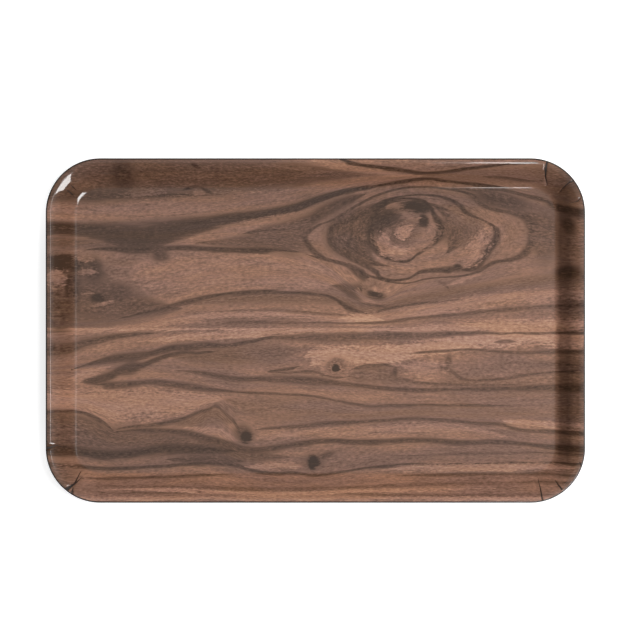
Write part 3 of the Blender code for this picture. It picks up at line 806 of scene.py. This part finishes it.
# The grain. A layer has its spacing across the grain in millimetres, how far it is drawn out along it, its
# detail, where in the noise it starts, and how far it shifts the tone
grainForm = {
    "broad": {"spacing": 14, "stretch": 7, "detail": 2, "start": 3.1},
    "middle": {"spacing": 2.6, "stretch": 9, "detail": 3, "start": 7.7, "shift": 50},
    "fine": {"spacing": 0.9, "stretch": 4, "detail": 4, "start": 12.9, "shift": 105},
    "roughness": 0.6,
    "groundTones": (102, 122),
    "groundBetween": (0.3, 0.7),  # of the broad layer
    "feather": 2,
    "lineWaver": 4,               # in millimetres
    "ringWaver": 1.2,             # in millimetres
    "ringFeather": 0.45,          # as a share of the lines' own
    "ringTurning": 0.6,           # how fast the grain changes round the swirl
    "swirlEdge": (0.72, 0.5),
    # painted shade over the two end walls: where it begins and ends along the tray, and how far it darkens
    # the tone
    "endsDarker": ((-196, -206, 6), (196, 206, 18)),
    "tan": (1.04, 1, 0.88, 1),
    "tanBetween": (0.4, 0.6),     # of the broad layer
}


def walnutPrint(tree):
    place = addNode(tree, "TexCoord", {}).outputs["Object"]
    place = {0: place, 1: (1 / mm, 1 / mm, 0)}
    place = addNode(tree, "VectorMath", place, operation="MULTIPLY").outputs[0]
    x, y = addNode(tree, "SeparateXYZ", {0: place}).outputs[:2]
    width, depth = printField["width"], printField["depth"]
    along = addNode(tree, "Math", {0: x, 1: printField["left"]}, operation="SUBTRACT").outputs[0]
    along = addNode(tree, "Math", {0: along, 1: width}, operation="DIVIDE").outputs[0]
    across = addNode(tree, "Math", {0: y, 1: printField["front"]}, operation="SUBTRACT").outputs[0]
    across = addNode(tree, "Math", {0: across, 1: depth}, operation="DIVIDE").outputs[0]
    height = grainHeight(tree, along, across)

    # the turn round the swirl's middle, 0 to 1, and the distance from it, 1 at the reach
    reach = swirlForm["reach"]
    offX = addNode(tree, "Math", {0: x, 1: swirlForm["x"]}, operation="SUBTRACT").outputs[0]
    offX = addNode(tree, "Math", {0: offX, 1: swirlForm["squeeze"]}, operation="MULTIPLY").outputs[0]
    offY = addNode(tree, "Math", {0: y, 1: swirlForm["y"]}, operation="SUBTRACT").outputs[0]
    turn = addNode(tree, "Math", {0: offY, 1: offX}, operation="ARCTAN2").outputs[0]
    turn = addNode(tree, "Math", {0: turn, 1: 1 / math.tau, 2: 0.5}, operation="MULTIPLY_ADD").outputs[0]
    both = addNode(tree, "CombineXYZ", {0: offX, 1: offY}).outputs[0]
    radius = addNode(tree, "VectorMath", {0: both}, operation="LENGTH").outputs[1]
    radius = addNode(tree, "Math", {0: radius, 1: 1 / reach}, operation="MULTIPLY").outputs[0]
    outer, inner = grainForm["swirlEdge"]
    inSwirl = {0: radius, 1: outer, 2: inner}
    inSwirl = addNode(tree, "MapRange", inSwirl, interpolation_type="SMOOTHSTEP", clamp=False).outputs[0]

    # the grain runs with the lines outside the swirl and round it inside
    straight = addNode(tree, "CombineXYZ", {0: x, 1: height}).outputs[0]
    turning = {0: both, 3: grainForm["ringTurning"]}
    turning = addNode(tree, "VectorMath", turning, operation="SCALE").outputs[0]
    turning = addNode(tree, "SeparateXYZ", {0: turning}).outputs
    rings = addNode(tree, "Math", {0: radius, 1: reach}, operation="MULTIPLY").outputs[0]
    around = addNode(tree, "CombineXYZ", {0: turning[0], 1: rings, 2: turning[1]}).outputs[0]

    def grain(layer):
        # streaks drawn out along the lines, and even in the swirl
        given, found = grainForm[layer], []
        for base, stretch in ((straight, given["stretch"]), (around, 1)):
            lengthwise, crosswise = 1 / (given["spacing"] * stretch), 1 / given["spacing"]
            start = (given["start"], given["start"], 0)
            scaled = {0: base, 1: start, 3: (lengthwise, crosswise, lengthwise)}
            scaled = addNode(tree, "Mapping", scaled).outputs[0]
            noise = {"Vector": scaled, "Scale": 1, "Detail": given["detail"]}
            noise["Roughness"] = grainForm["roughness"]
            found.append(addNode(tree, "TexNoise", noise).outputs[0])
        return addNode(tree, "Mix", {0: inSwirl, 2: found[0], 3: found[1]}).outputs[0]

    def swing(layer, amount, base):
        # the base, moved up and down by the layer over the amount
        moved = {0: layer, 1: amount, 2: -amount / 2}
        moved = addNode(tree, "Math", moved, operation="MULTIPLY_ADD").outputs[0]
        return addNode(tree, "Math", {0: base, 1: moved}).outputs[0]

    broad, middle, fine = grain("broad"), grain("middle"), grain("fine")
    wavered = swing(middle, grainForm["lineWaver"] / depth, across)
    waveredRadius = swing(middle, grainForm["ringWaver"] / reach, radius)

    feather = addNode(tree, "Math", {0: middle, 1: fine}).outputs[0]
    feather = {0: feather, 1: grainForm["feather"], 2: -grainForm["feather"]}
    feather = addNode(tree, "Math", feather, operation="MULTIPLY_ADD").outputs[0]
    low, high = grainForm["groundBetween"]
    dark, light = grainForm["groundTones"]
    tone = {0: broad, 1: low, 2: high, 3: dark, 4: light}
    tone = addNode(tree, "MapRange", tone, clamp=False).outputs[0]
    laid = []
    for paint, softness, upperShare, points in figure.values():
        scaled = [(*fieldPoint(px, py), wide / depth) for px, py, wide in points]
        laid.append((paint, softness, upperShare, scaled))
    tone = paintStrokes(tree, tone, along, wavered, feather, laid)
    turned = []
    for paint, softness, upperShare, points in swirl.values():
        scaled = [(*swirlPoint(px, py), wide / reach) for px, py, wide in points]
        # a loop meets itself where its turn runs from 1 back to 0
        first, last = scaled[0], scaled[-1]
        share = (1 - last[0]) / (1 - last[0] + first[0])
        seam = [low + (high - low) * share for low, high in zip(last[1:], first[1:])]
        turned.append((paint, softness, upperShare, [(0, *seam), *scaled, (1, *seam)]))
    calm = {0: feather, 1: grainForm["ringFeather"]}
    calm = addNode(tree, "Math", calm, operation="MULTIPLY").outputs[0]
    tone = paintStrokes(tree, tone, turn, waveredRadius, calm, turned)
    waveredY = {0: wavered, 1: depth, 2: printField["front"]}
    waveredY = addNode(tree, "Math", waveredY, operation="MULTIPLY_ADD").outputs[0]
    flat = addNode(tree, "CombineXYZ", {0: x, 1: waveredY}).outputs[0]
    tone = paintBlots(tree, tone, flat, feather)

    tone = swing(middle, grainForm["middle"]["shift"], tone)
    tone = swing(fine, grainForm["fine"]["shift"], tone)
    # painted shade: the print is darkened where it is drawn over the two end walls, more over the right
    # one, standing in for the shade that falls on those walls
    for begins, ends, amount in grainForm["endsDarker"]:
        paintedShade = addNode(tree, "MapRange", {0: x, 1: begins, 2: ends, 3: 0, 4: -amount}).outputs[0]
        tone = addNode(tree, "Math", {0: tone, 1: paintedShade}).outputs[0]
    darkest, lightest = toneRange
    level = addNode(tree, "MapRange", {0: tone, 1: darkest, 2: lightest}).outputs[0]
    ramp = addNode(tree, "ValToRGB", {0: level})
    stops = [((step - darkest) / (lightest - darkest), colour) for step, colour in tonesOfPrint]
    setStops(ramp.color_ramp, stops)
    # tan and pink heartwood lie in broad streaks
    tan = {0: 1, 6: ramp.outputs[0], 7: grainForm["tan"]}
    tan = addNode(tree, "Mix", tan, data_type="RGBA", blend_type="MULTIPLY").outputs[2]
    low, high = grainForm["tanBetween"]
    isTan = addNode(tree, "MapRange", {0: broad, 1: low, 2: high}).outputs[0]
    return addNode(tree, "Mix", {0: isTan, 6: ramp.outputs[0], 7: tan}, data_type="RGBA").outputs[2]


def newFinish(name, evenValues):
    # a material, with the values that are the same all over it
    made = bpy.data.materials.new(name)
    made.use_nodes = True
    shader = made.node_tree.nodes["Principled BSDF"]
    for socket, value in evenValues.items():
        shader.inputs[socket].default_value = value
    return made, made.node_tree, shader


def dullFinish(name, look, tones):
    # paper and resin with a tooth: its tones drift over one spacing, its gloss and height over another
    made, tree, shader = newFinish(name, {})
    place = addNode(tree, "TexCoord", {}).outputs["Object"]
    noises = []
    for spacing, detail in (look["drift"], look["tooth"]):
        scaled = addNode(tree, "Mapping", {0: place, 3: [1 / length for length in spacing]}).outputs[0]
        noise = {"Vector": scaled, "Scale": 1, "Detail": detail}
        noises.append(addNode(tree, "TexNoise", noise).outputs[0])
    drift, tooth = noises
    ramp = addNode(tree, "ValToRGB", {0: drift})
    setStops(ramp.color_ramp, list(zip(look["tonesBetween"], tones)))
    tree.links.new(ramp.outputs[0], shader.inputs["Base Color"])
    lowest, highest = look["roughness"]
    roughness = addNode(tree, "MapRange", {0: tooth, 3: lowest, 4: highest}).outputs[0]
    tree.links.new(roughness, shader.inputs["Roughness"])
    bump = {"Height": tooth, "Strength": look["toothStrength"], "Distance": look["toothHeight"]}
    tree.links.new(addNode(tree, "Bump", bump).outputs[0], shader.inputs["Normal"])
    return made


# Melamine-faced print: walnut printed on paper under clear cured resin, pressed against a polished plate,
# so it is flat in colour below and sharp in its reflections above
clearResin = {
    "Roughness": 0.6,
    "Specular IOR Level": 0.1,
    "Coat Weight": 1,
    "Coat Roughness": 0.035,
    "Coat IOR": 1.5,
}
faceFinish, tree, shader = newFinish("melamineWalnutPrint", clearResin)
tree.links.new(walnutPrint(tree), shader.inputs["Base Color"])

# Phenolic kraft: brown paper soaked in dark resin, cut and sanded at the edge, dull and nearly black
kraftLook = {
    "drift": ((3.33 * mm, 3.33 * mm, 0.25 * mm), 3),
    "tooth": ((3.33 * mm, 3.33 * mm, 0.25 * mm), 3),
    "tonesBetween": (0.3, 0.7),
    "roughness": (0.45, 0.7),
    "toothStrength": 0.2,
    "toothHeight": 0.05 * mm,
}
kraftFinish = dullFinish("phenolicKraft", kraftLook, ("#1a100b", "#2a1b13"))
kraftPaler = dullFinish("phenolicKraftPaler", kraftLook, ("#281a13", "#3a281d"))

# Balancing melamine: the plain dark sheet on the back, pressed against a satin plate, with a faint tooth
backLook = {
    "drift": ((40 * mm, 40 * mm, 40 * mm), 3),
    "tooth": ((0.83 * mm, 0.83 * mm, 0.83 * mm), 2),
    "tonesBetween": (0.35, 0.65),
    "roughness": (0.38, 0.5),
    "toothStrength": 0.15,
    "toothHeight": 0.05 * mm,
}
backFinish = dullFinish("balancingMelamine", backLook, ("#2b2320", "#332a26"))

# The tears' walls and the trimmed edge show the core: faces this steep, or turned outwards by this much
coreShows = {"upShare": 0.5, "outward": 0.02 * mm}
printedFace.data.materials.append(faceFinish)
printedFace.data.materials.append(kraftFinish)
for face in printedFace.data.polygons:
    outward = face.normal.x * face.center.x + face.normal.y * face.center.y
    isSteep = abs(face.normal.z) < coreShows["upShare"]
    isTrimmed = outward > coreShows["outward"] and face.normal.z > -coreShows["upShare"]
    face.material_index = 1 if isSteep or isTrimmed else 0
for number, ply in enumerate(kraftPlies):
    ply.data.materials.append(kraftPaler if number % 2 else kraftFinish)
backingSheet.data.materials.append(backFinish)
print("finishes made")

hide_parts("walnut_decor_sheet", "clear_overlay")
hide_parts("backing_sheet")
for ply, node in zip(kraftPlies, plyNames):
    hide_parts(node)
for piece in (printedFace, *kraftPlies, backingSheet):
    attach(piece, "root")

# The camera looks straight down on the tray's middle
camera = {
    "height": 1.6,
    "seenWidth": 516.8 * mm,
    "sensor": 36,
    "shift": (0.0025, 0.0213),
    "sees": (0.05, 30),
}
bpy.ops.object.camera_add(location=(0, 0, cadBox[1].z + camera["height"]), rotation=(0, 0, 0))
eye = bpy.context.object
eye.data.sensor_width = camera["sensor"]
eye.data.lens = camera["sensor"] * camera["height"] / camera["seenWidth"]
eye.data.shift_x, eye.data.shift_y = camera["shift"]
eye.data.clip_start, eye.data.clip_end = camera["sees"]
bpy.context.scene.camera = eye

# A sheet of lit white acrylic under the tray, even and dull, so that little but its own white shows
table = {"size": 14, "below": 0.5 * mm}
acrylicLook = {
    "Base Color": linearColour("#d0d0d0"),
    "Roughness": 0.7,
    "Specular IOR Level": 0,
    "Emission Color": (1, 1, 1, 1),
    "Emission Strength": 0.75,
}
bpy.ops.mesh.primitive_plane_add(size=table["size"], location=(0, 0, -table["below"]))
acrylic = bpy.context.object
acrylic.name = "tableTop"
acrylicFinish, tree, shader = newFinish("litAcrylic", acrylicLook)
acrylic.data.materials.append(acrylicFinish)

# Lights: where each stands, its width and depth, its radiance and what it looks at, which is straight down
# unless it is given. The panels only light surfaces and the cards only show in the gloss
panels = {
    "mainSoftbox": {"at": (1.2, 0, 2.35), "size": (1.3, 1.3), "radiance": 8.4, "aim": (0, 0, 0)},
    "lowBackPanel": {"at": (0.5, 2.3, 0.95), "size": (1.6, 0.7), "radiance": 14, "aim": (0, 0, 0)},
    "lowFrontPanel": {"at": (0.4, -2.3, 0.9), "size": (1.6, 0.7), "radiance": 8.3, "aim": (0, 0, 0)},
}
cards = {
    "cornerSoftbox": {
        "at": (2.095, -1.878, 4), "size": (1.35, 3.4), "radiance": 16, "aim": (-0.175, 0.096, 0),
    },
    "leftStripFront": {"at": (0.93, -0.265, 5), "size": (0.22, 0.33), "radiance": 8},
    "leftStripMiddle": {"at": (0.93, 0, 5), "size": (0.22, 0.2), "radiance": 6},
    "leftStripBack": {"at": (0.93, 0.265, 5), "size": (0.22, 0.33), "radiance": 5},
    "backStrip": {"at": (0.64, -1.12, 5), "size": (0.22, 0.8), "radiance": 9},
    "backStripFaint": {"at": (0.465, -1.12, 5), "size": (0.13, 0.9), "radiance": 1.5},
    "overheadVeil": {"at": (0.93, 0, 5.1), "size": (4.3, 2), "radiance": 0.5},
}
for name, lamp in (panels | cards).items():
    at = Vector(lamp["at"])
    way = Vector(lamp.get("aim", (at.x, at.y, 0))) - at
    turned = way.to_track_quat("-Z", "Y").to_euler()
    bpy.ops.object.light_add(type="AREA", location=at, rotation=turned)
    made = bpy.context.object
    made.name = name
    made.data.shape = "RECTANGLE"
    made.data.size, made.data.size_y = lamp["size"]
    made.data.energy = lamp["radiance"] * math.pi * lamp["size"][0] * lamp["size"][1]
    made.visible_camera = False
    made.visible_glossy = name in cards
    made.visible_diffuse = name in panels

# The room: white to the eye, dim as light, nearly dark in the gloss
room = {"seen": 1.0, "asLight": 0.04, "inGloss": 0.02}
world = bpy.data.worlds.new("studio")
bpy.context.scene.world = world
world.use_nodes = True
path = addNode(world.node_tree, "LightPath", {}).outputs
glow = {0: path["Is Glossy Ray"], 2: room["asLight"], 3: room["inGloss"]}
glow = addNode(world.node_tree, "Mix", glow).outputs[0]
glow = addNode(world.node_tree, "Mix", {0: path["Is Camera Ray"], 2: glow, 3: room["seen"]}).outputs[0]
backdrop = world.node_tree.nodes["Background"]
backdrop.inputs["Color"].default_value = (1, 1, 1, 1)
world.node_tree.links.new(glow, backdrop.inputs["Strength"])
bpy.context.scene.view_settings.view_transform = "Standard"
print("studio ready")
